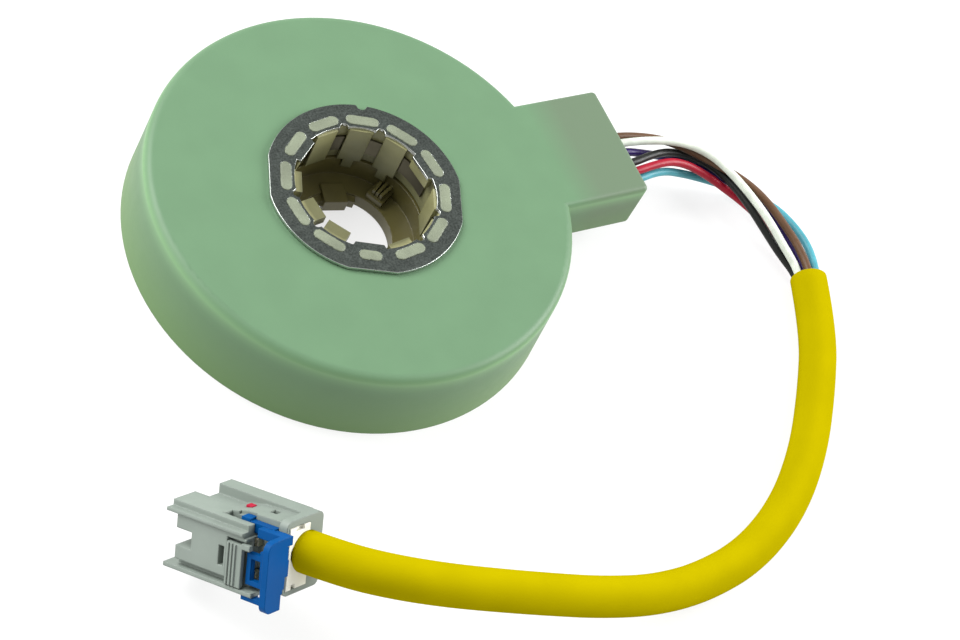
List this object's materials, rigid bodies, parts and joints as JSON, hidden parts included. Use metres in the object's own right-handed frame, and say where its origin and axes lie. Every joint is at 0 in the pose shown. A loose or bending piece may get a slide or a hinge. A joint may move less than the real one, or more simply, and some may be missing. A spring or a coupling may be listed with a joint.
{
  "type": "steering angle sensor",
  "caption": "Flat round steering angle and torque sensor with a steel-faced rotor, a wire box and a short sleeved lead that ends in a lockable plug.",
  "frame": {"origin": "on the steering shaft's axis, in the plane of the back cover's outer face", "axes": "+Z along the shaft's axis out of the face with the steel plate, +X toward the wire box"},
  "size_m": [0.1529, 0.1293, 0.0258],
  "materials": {
    "green_plastic": "fine moulded texture",
    "steel_plate": "stamped, dark and smooth",
    "cream_plastic": "moulded, slightly glossy",
    "spring_steel": "rolled strip",
    "target_metal": "stamped sheet",
    "dark_plastic": "moulded",
    "board": "coated laminate",
    "chip_plastic": "moulded",
    "seal_rubber": "matt",
    "wire_white": "extruded",
    "wire_brown": "extruded",
    "wire_violet": "extruded",
    "wire_black": "extruded",
    "wire_red": "extruded",
    "wire_teal": "extruded",
    "yellow_sleeve": "soft and slightly glossy",
    "grey_plastic": "fine moulded texture",
    "blue_plastic": "smooth",
    "insert_plastic": "moulded",
    "red_plastic": "smooth",
    "contact_metal": "tinned"
  },
  "bodies": {
    "root": {"housing": "green_plastic", "back_cover": "green_plastic", "circuit_board": "board", "sensor_chips": "chip_plastic", "wire_header": "dark_plastic", "wire_plug": "seal_rubber", "wire_white": "wire_white", "wire_brown": "wire_brown", "wire_violet": "wire_violet", "wire_black": "wire_black", "wire_red": "wire_red", "wire_teal": "wire_teal", "sleeve": "yellow_sleeve", "connector_body": "grey_plastic", "terminal_carrier": "insert_plastic", "lock_pin": "red_plastic", "terminals": "contact_metal"},
    "output": {"output_rotor": "dark_plastic", "angle_target": "target_metal"},
    "input": {"input_rotor": "cream_plastic", "retainer_plate": "steel_plate", "spring_band": "spring_steel", "torque_target": "target_metal"},
    "lock": {"connector_lock": "blue_plastic"}
  },
  "joints": [
    {"name": "output_turn", "type": "hinge", "parent": "root", "child": "output", "pos_m": [0, 0, 0.006], "axis": [0, 0, 1], "continuous": true},
    {"name": "input_twist", "type": "hinge", "parent": "output", "child": "input", "pos_m": [0, 0, 0.012], "axis": [0, 0, 1], "range_deg": [-6, 6]},
    {"name": "lock_slide", "type": "slide", "parent": "root", "child": "lock", "axis": [-0.3924, 0.7412, -0.5446], "range_m": [0, 0.0015]}
  ]
}
